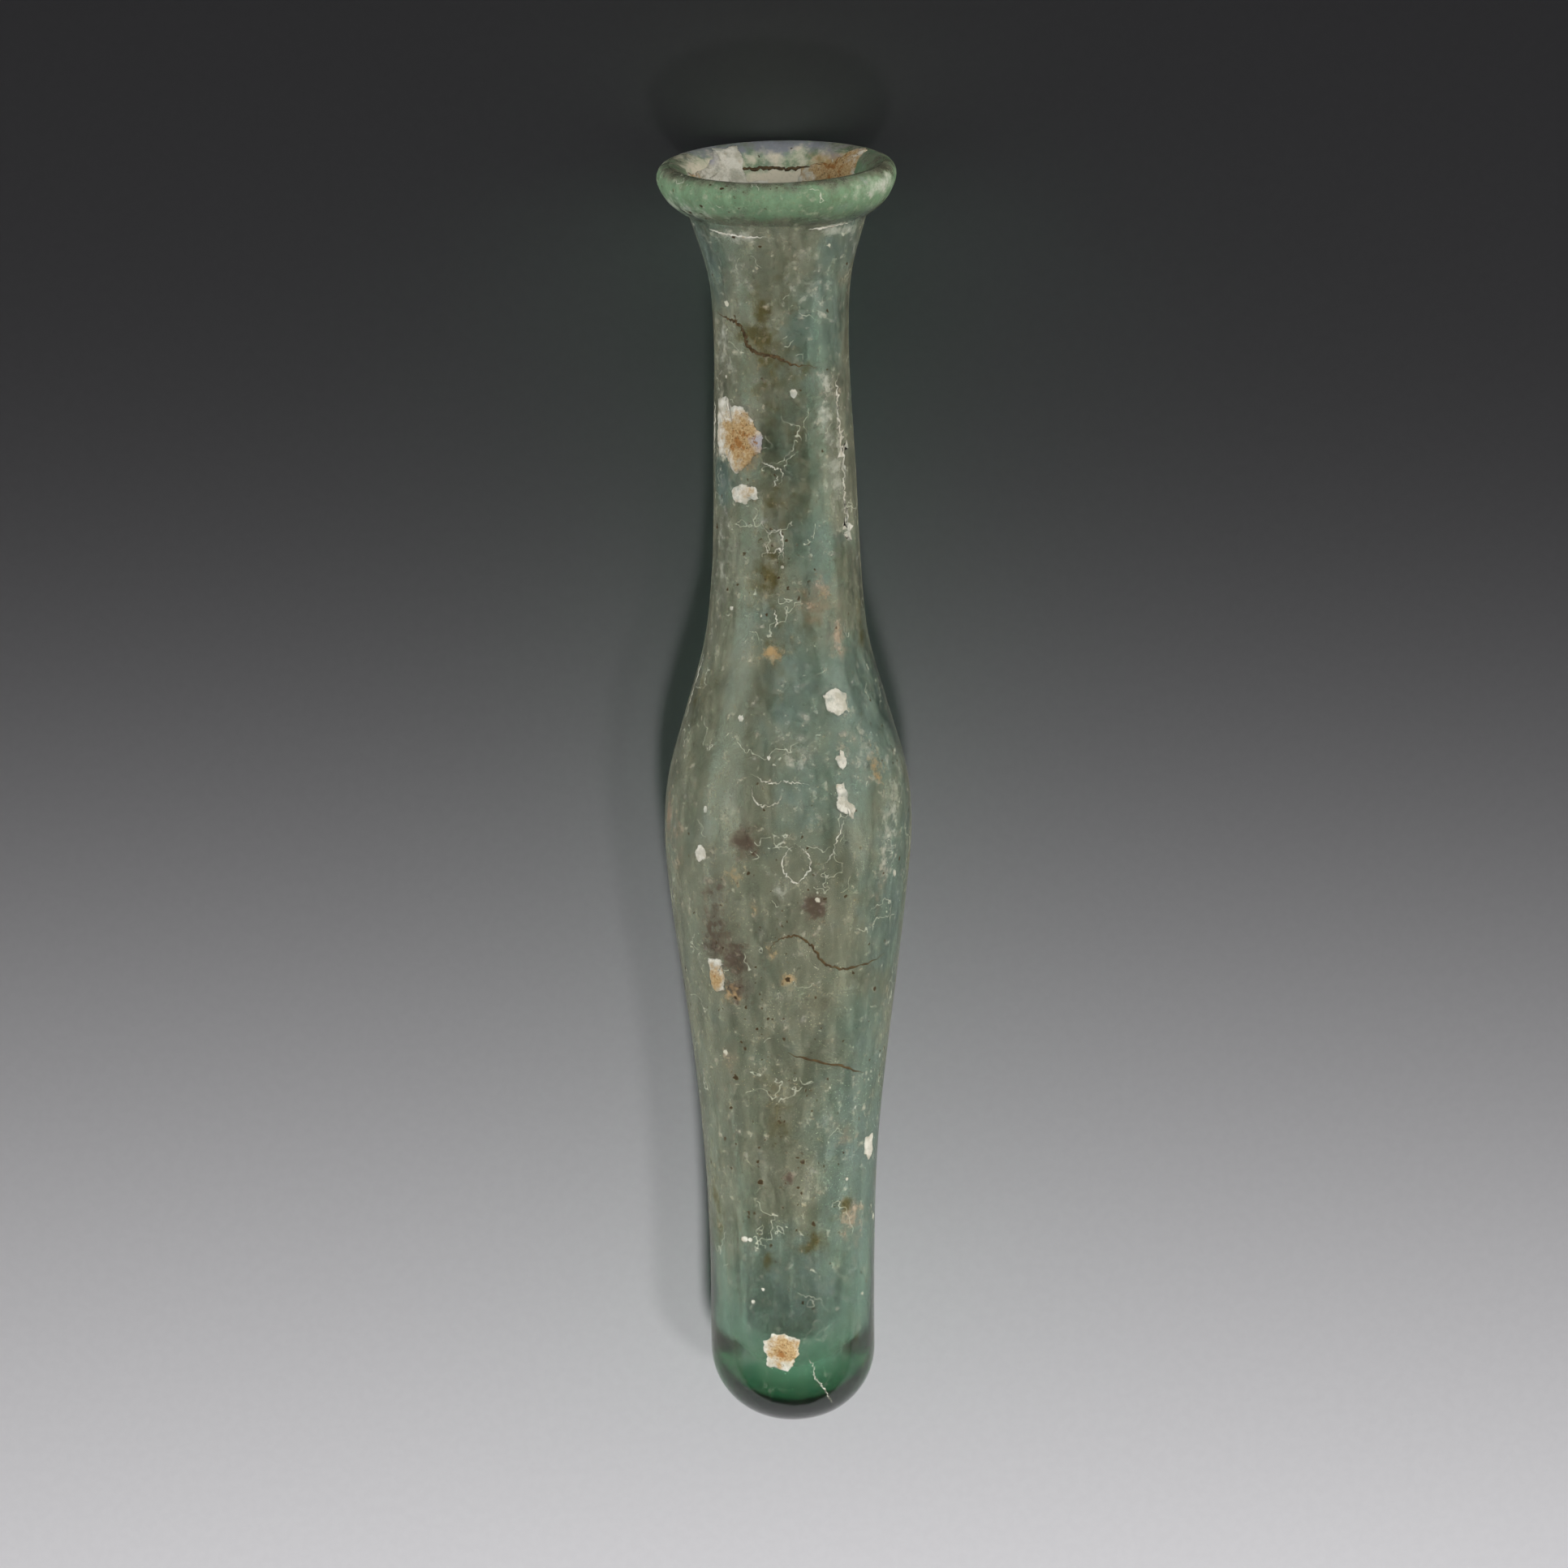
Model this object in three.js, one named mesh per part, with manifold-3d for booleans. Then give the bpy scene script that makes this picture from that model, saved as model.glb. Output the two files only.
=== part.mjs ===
// Glass unguentarium: a free-blown, spindle-shaped flask with a folded collar rim and a rounded base.
// It lies on its side, resting on its bulge and its rim, because its round base can't carry it upright.
// Millimetres, +Z up, +Y from the base towards the mouth, origin under the middle of its bounding box.
import * as THREE from "three";
import { mergeVertices } from "three/addons/utils/BufferGeometryUtils.js";
import Module from "manifold-3d";

// Driving dimensions. Heights are measured along the axis, from the tip of the base.
const rimHeight = 140; // crest of the rim
const rimRadius = 13.0; // widest line of the collar
const collarHeight = 138.5; // height of that widest line
const creaseHeight = 134.3; // where the folded collar meets the neck
const creaseRadius = 9.65;
const crestRadius = 11.45; // top of the rim
const lipRadius = 9.95; // edge of the mouth
const lipHeight = 139.2;

const bulgeRadius = 13.45;
const bulgeHeight = 66.5;
const neckRadius = 7.36; // narrowest line of the neck
const neckHeight = 121.5;
const tubeRadius = 9.0; // lower tube, just above the base
const baseTipCurve = 10.6; // radius of curvature under the middle of the base
const baseCornerCurve = 8.2; // and where the base turns up into the tube
const baseThickness = 4.3; // solid glass gathered at the bottom
const innerBaseCurve = 7.2;

const axisBow = 0.45; // sideways bow of the hand-blown axis, in +X
const rimTiltSide = THREE.MathUtils.degToRad(0.6); // rim lower on its -X side
const rimTiltFront = THREE.MathUtils.degToRad(3); // rim lower on its +Z side
const restFlatDepth = 0.15; // small worn flats that stop it rolling

const radialSegments = 48;
const outerSteps = 2; // facets between two stations of the outline
const innerSteps = 1;

// Outer radius and wall thickness along the body.
const stations = [
  { height: 19, radius: 9.07, wall: 1.5 },
  { height: 29.6, radius: 9.48, wall: 1.35 },
  { height: 40.5, radius: 10.5, wall: 1.15 },
  { height: 51.3, radius: 11.9, wall: 1.0 },
  { height: 59, radius: 12.86, wall: 0.95 },
  { height: bulgeHeight, radius: bulgeRadius, wall: 0.95 },
  { height: 72.5, radius: 13.0, wall: 1.0 },
  { height: 80.3, radius: 10.88, wall: 1.1 },
  { height: 87.5, radius: 8.9, wall: 1.25 },
  { height: 95, radius: 8.1, wall: 1.45 },
  { height: 107, radius: 7.72, wall: 1.5 },
  { height: neckHeight, radius: neckRadius, wall: 1.5 },
  { height: 128, radius: 7.84, wall: 1.5 },
];

const point = (radius, height) => new THREE.Vector2(radius, height);

// Points of a smooth curve through the given ones.
function smooth(points, steps) {
  const through = points.map((p) => new THREE.Vector3(p.x, p.y, 0));
  const curve = new THREE.CatmullRomCurve3(through, false, "centripetal");
  return curve
    .getPoints((points.length - 1) * steps)
    .map((p) => point(p.x, p.y));
}

// Points on an arc about a centre, from one angle to another, angles counted from the +radius axis.
function arc(centre, radius, from, to, steps) {
  return Array.from({ length: steps + 1 }, (_, i) => {
    const angle = from + ((to - from) * i) / steps;
    return point(
      centre.x + radius * Math.cos(angle),
      centre.y + radius * Math.sin(angle),
    );
  });
}

// The base: a shallow tip arc that runs smoothly into a tighter corner arc.
function baseOutline() {
  const cornerX = tubeRadius - baseCornerCurve;
  const between = baseTipCurve - baseCornerCurve;
  const cornerY = baseTipCurve - Math.sqrt(between ** 2 - cornerX ** 2);
  const meet = -Math.PI / 2 + Math.asin(cornerX / between);
  return [
    ...arc(point(0, baseTipCurve), baseTipCurve, -Math.PI / 2, meet, 2),
    ...arc(point(cornerX, cornerY), baseCornerCurve, meet, 0, 6).slice(1),
  ];
}

// The folded collar, from its crease over the crest to the edge of the mouth.
function collarOutline() {
  return smooth(
    [
      point(creaseRadius, creaseHeight),
      point(10.7, creaseHeight + 0.7),
      point(12.05, creaseHeight + 2.0),
      point(rimRadius, collarHeight),
      point(12.6, rimHeight - 0.36),
      point(crestRadius, rimHeight),
      point(lipRadius, lipHeight),
    ],
    2,
  );
}

function vesselOutline() {
  const base = baseOutline();
  const body = smooth(
    [
      base.at(-1),
      ...stations.map((s) => point(s.radius, s.height)),
      point(creaseRadius - 0.12, creaseHeight - 0.25),
    ],
    outerSteps,
  );
  const funnel = [
    point(lipRadius, lipHeight),
    point(9.0, 137.2),
    point(7.95, 134),
    point(7.15, 131),
  ];
  const innerWall = stations
    .map((s) => point(s.radius - s.wall, s.height))
    .reverse();
  const innerBaseCentre = point(0, baseThickness + innerBaseCurve);
  const inside = smooth(
    [...funnel, ...innerWall, point(innerBaseCurve, innerBaseCentre.y)],
    innerSteps,
  );
  const floor = arc(innerBaseCentre, innerBaseCurve, 0, -Math.PI / 2, 5);
  const outline = [
    ...base,
    ...body.slice(1),
    ...collarOutline(),
    ...inside.slice(1),
    ...floor.slice(1),
  ];
  outline[0].x = 0;
  outline.at(-1).x = 0;
  return outline;
}

// The hand-blown form: the axis bows a little and the rim isn't quite square to it.
function leanFreely(geometry) {
  const position = geometry.getAttribute("position");
  const p = new THREE.Vector3();
  for (let i = 0; i < position.count; i++) {
    p.fromBufferAttribute(position, i);
    const nearRim = THREE.MathUtils.smoothstep(p.y, creaseHeight, collarHeight);
    const rise = p.x * Math.tan(rimTiltSide) - p.z * Math.tan(rimTiltFront);
    const along = p.y / rimHeight;
    p.x += axisBow * Math.sin(Math.PI * along ** 2);
    p.y += rise * nearRim;
    position.setXYZ(i, p.x, p.y, p.z);
  }
}

const wasm = await Module();
wasm.setup();

function toSolid(geometry) {
  const bare = geometry.clone();
  bare.deleteAttribute("normal");
  bare.deleteAttribute("uv");
  const merged = mergeVertices(bare, 1e-4);
  return new wasm.Manifold(
    new wasm.Mesh({
      numProp: 3,
      vertProperties: merged.getAttribute("position").array,
      triVerts: new Uint32Array(merged.index.array),
    }),
  );
}

function toGeometry(solid) {
  const mesh = solid.getMesh();
  const geometry = new THREE.BufferGeometry();
  geometry.setAttribute(
    "position",
    new THREE.BufferAttribute(mesh.vertProperties, 3),
  );
  geometry.setIndex(new THREE.BufferAttribute(mesh.triVerts, 1));
  return geometry;
}

// Laid down on its bulge and rim, with a small flat cut at each place where it rests.
function layDown(geometry) {
  const slope = (bulgeRadius - rimRadius) / (collarHeight - bulgeHeight);
  geometry.rotateX(-Math.atan(slope));
  geometry.computeBoundingBox();
  geometry.translate(0, 0, -geometry.boundingBox.min.z - restFlatDepth);
  const ground = new THREE.BoxGeometry(60, 2 * rimHeight + 60, 10);
  ground.translate(0, rimHeight / 2, -5);
  const rested = toGeometry(toSolid(geometry).subtract(toSolid(ground)));
  rested.computeBoundingBox();
  const middle = rested.boundingBox.getCenter(new THREE.Vector3());
  rested.translate(-middle.x, -middle.y, -rested.boundingBox.min.z);
  rested.computeVertexNormals();
  return rested;
}

const blownGlass = new THREE.MeshStandardMaterial({
  color: 0x8fb3a0,
  roughness: 0.22,
  metalness: 0,
  transparent: true,
  opacity: 0.35,
});

const lathe = new THREE.LatheGeometry(vesselOutline(), radialSegments);
leanFreely(lathe);

const vessel = new THREE.Mesh(layDown(lathe), blownGlass);
vessel.name = "unguentarium";

const part = new THREE.Group();
part.add(vessel);

export default part;
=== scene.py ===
import math
import random

import bmesh
import bpy
import numpy as np
from mathutils import Matrix, Vector


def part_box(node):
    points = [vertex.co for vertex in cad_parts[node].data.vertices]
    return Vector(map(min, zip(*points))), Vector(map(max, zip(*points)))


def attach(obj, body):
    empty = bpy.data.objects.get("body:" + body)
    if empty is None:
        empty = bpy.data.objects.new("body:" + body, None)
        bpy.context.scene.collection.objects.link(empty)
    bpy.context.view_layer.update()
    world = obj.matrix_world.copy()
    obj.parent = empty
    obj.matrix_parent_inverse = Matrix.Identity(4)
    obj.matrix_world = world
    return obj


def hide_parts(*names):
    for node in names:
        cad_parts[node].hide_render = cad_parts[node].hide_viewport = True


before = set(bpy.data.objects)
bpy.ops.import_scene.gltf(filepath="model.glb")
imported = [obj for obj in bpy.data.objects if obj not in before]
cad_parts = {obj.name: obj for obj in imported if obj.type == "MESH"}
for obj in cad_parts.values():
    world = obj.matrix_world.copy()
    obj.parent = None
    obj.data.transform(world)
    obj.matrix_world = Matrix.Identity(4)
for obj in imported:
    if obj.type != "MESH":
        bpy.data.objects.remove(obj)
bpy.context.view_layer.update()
print("frame loaded")

mm = 0.001
flask = {  # millimetres; heights run along the axis from the tip of the base
    "rimHeight": 140.0, "rimRadius": 13.0, "collarHeight": 138.5,
    "creaseHeight": 134.3, "creaseRadius": 9.65, "crestRadius": 11.45,
    "lipRadius": 9.95, "lipHeight": 139.2,
    "bulgeRadius": 13.45, "bulgeHeight": 66.5, "neckRadius": 7.36, "neckHeight": 121.5,
    "tubeRadius": 9.0, "tipCurve": 10.6, "cornerCurve": 8.2,
    "baseThickness": 4.3, "innerCurve": 7.2,
    "axisBow": 0.45, "rimTiltSide": 0.6, "rimTiltFront": 3.0, "restFlat": 0.15,
    "segments": 160, "blowingMarks": 1.0,
}
stations = [  # height, outer radius, wall
    (19, 9.07, 1.5), (29.6, 9.48, 1.35), (40.5, 10.5, 1.15), (51.3, 11.9, 1.0), (59, 12.86, 0.95),
    (flask["bulgeHeight"], flask["bulgeRadius"], 0.95), (72.5, 13.0, 1.0), (80.3, 10.88, 1.1),
    (87.5, 8.9, 1.25), (95, 8.1, 1.45), (107, 7.72, 1.5),
    (flask["neckHeight"], flask["neckRadius"], 1.5), (128, 7.84, 1.5),
]


def smoothStep(value, low, high):
    t = np.clip((value - low) / (high - low), 0, 1)
    return t * t * (3 - 2 * t)


def smoothCurve(points, steps):  # centripetal curve through every point
    pts = [np.array(p, float) for p in points]
    pts = [2 * pts[0] - pts[1]] + pts + [2 * pts[-1] - pts[-2]]
    out = []
    for a, b, c, d in zip(pts, pts[1:], pts[2:], pts[3:]):
        gapA, gapB, gapC = (max(np.linalg.norm(q - p), 1e-9) ** 0.5 for p, q in ((a, b), (b, c), (c, d)))
        runB = ((b - a) / gapA - (c - a) / (gapA + gapB) + (c - b) / gapB) * gapB
        runC = ((c - b) / gapB - (d - b) / (gapB + gapC) + (d - c) / gapC) * gapB
        for t in np.arange(steps) / steps:
            out.append(b + runB * t + (3 * (c - b) - 2 * runB - runC) * t**2
                       + (2 * (b - c) + runB + runC) * t**3)
    return np.array(out + [pts[-2]])


def arcPoints(centre, radius, start, end, steps):
    a = np.linspace(start, end, steps + 1)
    return np.c_[centre[0] + radius * np.cos(a), centre[1] + radius * np.sin(a)]


def outerOutline():
    d = flask
    cornerX, between = d["tubeRadius"] - d["cornerCurve"], d["tipCurve"] - d["cornerCurve"]
    cornerY = d["tipCurve"] - math.sqrt(between**2 - cornerX**2)
    meet = -math.pi / 2 + math.asin(cornerX / between)
    tip = arcPoints((0, d["tipCurve"]), d["tipCurve"], -math.pi / 2, meet, 6)
    corner = arcPoints((cornerX, cornerY), d["cornerCurve"], meet, 0, 16)
    body = smoothCurve([corner[-1]] + [(r, h) for h, r, w in stations]
                       + [(d["creaseRadius"] - 0.12, d["creaseHeight"] - 0.25)], 7)
    collar = smoothCurve([(d["creaseRadius"], d["creaseHeight"]), (10.7, d["creaseHeight"] + 0.7),
                          (12.05, d["creaseHeight"] + 2), (d["rimRadius"], d["collarHeight"]),
                          (12.6, d["rimHeight"] - 0.36), (d["crestRadius"], d["rimHeight"]),
                          (d["lipRadius"], d["lipHeight"])], 6)
    return np.vstack([tip, corner[1:], body[1:], collar])


def innerOutline():
    d = flask
    centre = (0, d["baseThickness"] + d["innerCurve"])
    funnel = [(d["lipRadius"], d["lipHeight"]), (9.0, 137.2), (7.95, 134), (7.15, 131)]
    wall = [(r - w, h) for h, r, w in reversed(stations)]
    bore = smoothCurve(funnel + wall + [(d["innerCurve"], centre[1])], 6)
    return np.vstack([bore, arcPoints(centre, d["innerCurve"], 0, -math.pi / 2, 14)[1:]])


outside, inside = outerOutline(), innerOutline()
outside[0, 0] = inside[-1, 0] = 0
crest = int(np.argmax(outside[:, 1]))
boreFoot = flask["baseThickness"] + flask["innerCurve"]


def wallRadius(height, bore=False):
    if bore:
        wall = inside[inside[:, 1] >= boreFoot - 0.01][::-1]
        return np.interp(height, wall[:, 1], wall[:, 0])
    return np.interp(height, outside[:crest + 1, 1], outside[:crest + 1, 0])


def unevenness(height, turn):  # slow dents and swellings left by free blowing, none where it rests
    fade = np.clip(height / 12, 0, 1) * np.clip((flask["creaseHeight"] - height) / 8, 0, 1)
    fade = fade * smoothStep(np.cos(turn), -1, -0.75) * flask["blowingMarks"]
    return fade * (0.05 * np.sin(2 * turn + height / 17) + 0.035 * np.sin(3 * turn - height / 9 + 1.1)
                   + 0.03 * np.sin(turn + height / 4.3 + 2))


restSlope = math.atan((flask["bulgeRadius"] - flask["rimRadius"])
                      / (flask["collarHeight"] - flask["bulgeHeight"]))


def lieDown(x, height, z):  # upright millimetres to the lying pose, before it is set on the floor
    d = flask
    tilt = x * math.tan(math.radians(d["rimTiltSide"])) - z * math.tan(math.radians(d["rimTiltFront"]))
    nearRim = smoothStep(height, d["creaseHeight"], d["collarHeight"])
    x = x + d["axisBow"] * np.sin(np.pi * (height / d["rimHeight"]) ** 2)
    height = height + tilt * nearRim
    c, s = math.cos(restSlope), math.sin(restSlope)
    return np.stack([x, height * c + z * s, -height * s + z * c], -1)


def settledShift():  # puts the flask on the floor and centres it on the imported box
    turn = np.linspace(0, 2 * np.pi, 96, endpoint=False)[None]
    r, h = outside[:, :1], outside[:, 1:]
    p = lieDown(r * np.sin(turn), h + 0 * turn, r * np.cos(turn)).reshape(-1, 3)
    low, high = p.min(0), p.max(0)
    lowCad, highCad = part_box("unguentarium")
    middle = (lowCad + highCad) / 2 / mm
    return np.array([middle.x - (low[0] + high[0]) / 2, middle.y - (low[1] + high[1]) / 2,
                     -low[2] - flask["restFlat"]])


shift = settledShift()


def settle(points):
    placed = (points + shift) * mm
    placed[..., 2] = np.maximum(placed[..., 2], 0)
    return placed


def wallPoints(height, turn, lift=0.0, bore=False):  # lift is off the glass, into the bore if bore
    height, turn = np.asarray(height, float), np.asarray(turn, float)
    slope = (wallRadius(height + 0.05, bore) - wallRadius(height - 0.05, bore)) / 0.1
    off = lift * (-1 if bore else 1) / np.sqrt(1 + slope**2)
    r = wallRadius(height, bore) + unevenness(height, turn) + off
    return settle(lieDown(r * np.sin(turn), height - off * slope, r * np.cos(turn)))


def makeMesh(name, points, faces, material, smooth=True):
    mesh = bpy.data.meshes.new(name)
    mesh.from_pydata(np.asarray(points).reshape(-1, 3).tolist(), [], [list(map(int, f)) for f in faces])
    mesh.polygons.foreach_set("use_smooth", [smooth] * len(mesh.polygons))
    mesh.materials.append(material)
    mesh.update()
    piece = bpy.data.objects.new(name, mesh)
    bpy.context.scene.collection.objects.link(piece)
    return piece


def ringFaces(rings, segments, first=0):
    i, j = np.meshgrid(np.arange(rings - 1), np.arange(segments), indexing="ij")
    nxt = (j + 1) % segments
    near, far = first + i * segments, first + (i + 1) * segments
    return np.stack([near + j, near + nxt, far + nxt, far + j], -1).reshape(-1, 4)


def poleFaces(pole, ring, segments, upward):
    j = np.arange(segments)
    nxt = (j + 1) % segments
    return [(pole, ring + b, ring + a) if upward else (pole, ring + a, ring + b) for a, b in zip(j, nxt)]


def paint(piece, name, values):  # one number for each vertex
    layer = piece.data.attributes.new(name, "FLOAT", "POINT")
    layer.data.foreach_set("value", np.asarray(values, np.float32).ravel())


# materials

vectorMath = "ShaderNodeVectorMath"


def feed(tree, socket, value):  # a link from another socket, or a value of its own
    if hasattr(value, "is_output"):
        tree.links.new(value, socket)
    elif socket.type == "RGBA" and len(value) == 3:
        socket.default_value = (*value, 1)
    else:
        socket.default_value = value


def node(tree, kind, place=(0, 0), feeds=None, **settings):
    made = tree.nodes.new(kind)
    made.location = place
    for key, value in settings.items():
        setattr(made, key, value)
    for key, value in (feeds or {}).items():
        feed(tree, made.inputs[key], value)
    return made


def reckon(tree, operation, *values, place=(0, 0), kind="ShaderNodeMath"):
    return node(tree, kind, place, dict(enumerate(values)), operation=operation).outputs[0]


def ease(tree, value, low, high, place):  # 0 at low and 1 at high, with soft ends
    feeds = {"Value": value, "From Min": low, "From Max": high}
    return node(tree, "ShaderNodeMapRange", place, feeds, interpolation_type="SMOOTHSTEP").outputs[0]


def noise(tree, place, **feeds):
    return node(tree, "ShaderNodeTexNoise", place, feeds).outputs


def maskGroup(name, **values):  # the start of an effect: its inputs, and one mask out
    tree = bpy.data.node_groups.new(name, "ShaderNodeTree")
    sockets = tree.interface
    sockets.new_socket("Vector", in_out="INPUT", socket_type="NodeSocketVector")
    for key, value in values.items():
        sockets.new_socket(key, in_out="INPUT", socket_type="NodeSocketFloat").default_value = value
    sockets.new_socket("Mask", in_out="OUTPUT", socket_type="NodeSocketFloat")
    return tree, node(tree, "NodeGroupInput", (-1300, 0)).outputs


def mottleGroup():  # a broken-edged mask: noise, with an amount that pushes it up or down
    tree, given = maskGroup("mottle", Amount=0.0, Scale=400.0, Detail=5.0, Spread=1.0,
                            Low=0.45, High=0.6, Stretch=1.0)
    along = node(tree, "ShaderNodeCombineXYZ", (-720, -200), {"X": 1, "Y": given["Stretch"], "Z": 1})
    place = reckon(tree, "MULTIPLY", given["Vector"], along.outputs[0], place=(-540, 0), kind=vectorMath)
    field = noise(tree, (-340, 0), Vector=place, Scale=given["Scale"], Detail=given["Detail"],
                  Roughness=0.62)
    swing = reckon(tree, "MULTIPLY_ADD", field[0], given["Spread"], given["Amount"], place=(-140, 0))
    cut = ease(tree, swing, given["Low"], given["High"], (80, 0))
    node(tree, "NodeGroupOutput", (500, 0), {"Mask": cut})
    return tree


def curlGroup():  # thin curling lines, as where a film has lifted and broken along its edge
    tree, given = maskGroup("curlLines", Scale=300.0, Width=0.012, Patches=0.55)
    field = noise(tree, (-600, 0), Vector=given["Vector"], Scale=given["Scale"], Detail=3.0)
    centred = reckon(tree, "SUBTRACT", field[0], 0.5, place=(-400, 0))
    away = reckon(tree, "ABSOLUTE", centred, place=(-220, 0))
    line = ease(tree, away, given["Width"], 0.0, (-40, 0))
    where = noise(tree, (-600, -300), Vector=given["Vector"], Scale=210.0, Detail=2.0)
    patch = reckon(tree, "GREATER_THAN", where[0], given["Patches"], place=(-220, -300))
    both = reckon(tree, "MULTIPLY", line, patch, place=(200, 0))
    node(tree, "NodeGroupOutput", (500, 0), {"Mask": both})
    return tree


def speckGroup():  # scattered grains of many sizes; Amount is the share of places that hold one
    tree, given = maskGroup("specks", Amount=0.2, Scale=900.0, Largest=0.5)
    ragged = noise(tree, (-1100, -250), Vector=given["Vector"], Scale=2400.0, Detail=3.0)
    nudge = node(tree, vectorMath, (-900, -250), {0: ragged["Color"], "Scale": 0.7 * mm},
                 operation="SCALE")
    moved = reckon(tree, "ADD", given["Vector"], nudge.outputs[0], place=(-700, 0), kind=vectorMath)
    cells = node(tree, "ShaderNodeTexVoronoi", (-500, 0), {"Vector": moved, "Scale": given["Scale"]}).outputs
    chance = node(tree, "ShaderNodeSeparateColor", (-300, -200), {0: cells["Color"]}).outputs
    kept = reckon(tree, "LESS_THAN", chance[0], given["Amount"], place=(-100, -100))
    size = reckon(tree, "POWER", chance[1], 2.0, place=(-100, -300))
    full = reckon(tree, "MULTIPLY_ADD", size, given["Largest"], 0.08, place=(100, -300))
    inner = reckon(tree, "MULTIPLY", full, 0.6, place=(200, -450))
    edge = ease(tree, cells["Distance"], full, inner, (300, 0))
    both = reckon(tree, "MULTIPLY", edge, kept, place=(500, 0))
    node(tree, "NodeGroupOutput", (700, 0), {"Mask": both})
    return tree


mottle, curlLines, strewnSpecks = mottleGroup(), curlGroup(), speckGroup()


class Shade:  # one material being built
    def __init__(self, name):
        self.material = bpy.data.materials.new(name)
        self.material.use_nodes = True
        self.tree = self.material.node_tree
        self.tree.nodes.clear()
        self.shader = node(self.tree, "ShaderNodeBsdfPrincipled", (600, 0))
        self.out = node(self.tree, "ShaderNodeOutputMaterial", (900, 0),
                        {"Surface": self.shader.outputs[0]})
        self.place = node(self.tree, "ShaderNodeTexCoord", (-1400, 0)).outputs["Object"]

    def effect(self, group, **values):
        feeds = {"Vector": self.place, **{name.capitalize(): value for name, value in values.items()}}
        return node(self.tree, "ShaderNodeGroup", (-900, 0), feeds, node_tree=group).outputs["Mask"]

    def mask(self, **values):
        return self.effect(mottle, **values)

    def blend(self, factor, low, high, kind="RGBA"):
        made = node(self.tree, "ShaderNodeMix", (-300, 0), data_type=kind)
        used = [s for s in made.inputs if s.enabled]
        for socket, value in zip(used, (factor, low, high)):
            feed(self.tree, socket, value)
        return next(s for s in made.outputs if s.enabled)

    def reckon(self, operation, a, b):
        return reckon(self.tree, operation, a, b, place=(-500, 0))

    def plus(self, a, b):
        return self.reckon("ADD", a, b)

    def times(self, a, b):
        return self.reckon("MULTIPLY", a, b)

    def painted(self, name):
        return node(self.tree, "ShaderNodeAttribute", (-1400, 0), attribute_name=name).outputs["Fac"]

    def relief(self, height, strength, distance):
        feeds = {"Strength": strength, "Distance": distance, "Height": height}
        self.set(Normal=node(self.tree, "ShaderNodeBump", (300, 0), feeds).outputs["Normal"])

    def set(self, **values):
        for name, value in values.items():
            feed(self.tree, self.shader.inputs[name.replace("_", " ")], value)


glass = {  # tint and density colour its thick places
    "tint": (0.05, 0.50, 0.25), "density": 290.0, "clear": (0.98, 0.99, 0.98),
    "dulled": (0.93, 0.95, 0.92), "smooth": 0.07, "rough": 0.2,
}


def agedGlass():
    s = Shade("agedGlass")
    s.set(IOR=1.5, Transmission_Weight=1.0, Metallic=0.0)
    dull = s.mask(scale=210.0, detail=6.0, low=0.42, high=0.66, stretch=0.5)
    pitted = s.mask(scale=1500.0, detail=3.0, low=0.56, high=0.64)
    s.set(Roughness=s.blend(dull, glass["smooth"], glass["rough"], "FLOAT"),
          Base_Color=s.blend(dull, glass["clear"], glass["dulled"]))
    ripple = s.mask(scale=160.0, detail=4.0, low=0.2, high=0.8, stretch=0.35)
    s.relief(s.blend(0.05, ripple, pitted, "FLOAT"), 0.25, 0.12 * mm)
    thick = node(s.tree, "ShaderNodeVolumeAbsorption", (600, -400),
                 {"Color": glass["tint"], "Density": glass["density"]})
    feed(s.tree, s.out.inputs["Volume"], thick.outputs[0])
    return s.material


filmColours = {  # linear colours of the films: mostly what has grown or settled on the glass; pale also gives the painted highlights on the collar and in the crease, and teal a dark green coat round the lower base
    "warm": (0.30, 0.30, 0.21), "cool": (0.225, 0.29, 0.22), "earth": (0.13, 0.12, 0.07),
    "olive": (0.085, 0.07, 0.022), "ochre": (0.36, 0.24, 0.11), "mauve": (0.075, 0.052, 0.037),
    "rose": (0.38, 0.27, 0.18), "blue": (0.19, 0.25, 0.215), "pale": (0.47, 0.48, 0.40),
    "green": (0.175, 0.285, 0.165), "violet": (0.20, 0.21, 0.235), "cream": (0.60, 0.54, 0.42),
    "teal": (0.028, 0.082, 0.055), "curl": (0.46, 0.47, 0.37), "grit": (0.045, 0.03, 0.014),
    "crumb": (0.50, 0.48, 0.38),
}
innerLook = {"gap": 0.06, "rows": 300, "segments": 200, "density": 0.42, "cloud": 0.10,
             "streak": 0.10, "solid": 0.5, "coarse": 1.0,
             "curl": 0.08, "grit": 0.5, "crumb": 0.3, "fine": 0.3}
outerLook = {"gap": 0.03, "rows": 330, "segments": 220, "density": 0.30, "cloud": 0.16,
             "streak": 0.22, "solid": 0.9, "coarse": 1.35,
             "curl": 0.32, "grit": 0.85, "crumb": 0.5, "fine": 0.6}
patchKinds = {  # how much each one thickens the film, and how coarse its edge is
    "green": (0.45, 300.0), "teal": (0.55, 200.0), "blue": (0.04, 260.0), "rose": (0.2, 600.0),
    "pale": (0.3, 600.0), "olive": (0.3, 480.0), "mauve": (0.5, 700.0), "ochre": (0.45, 1000.0),
    "violet": (0.7, 500.0), "cream": (1.0, 650.0),
}
paintedKinds = (*patchKinds, "bare", "gritty")
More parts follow.
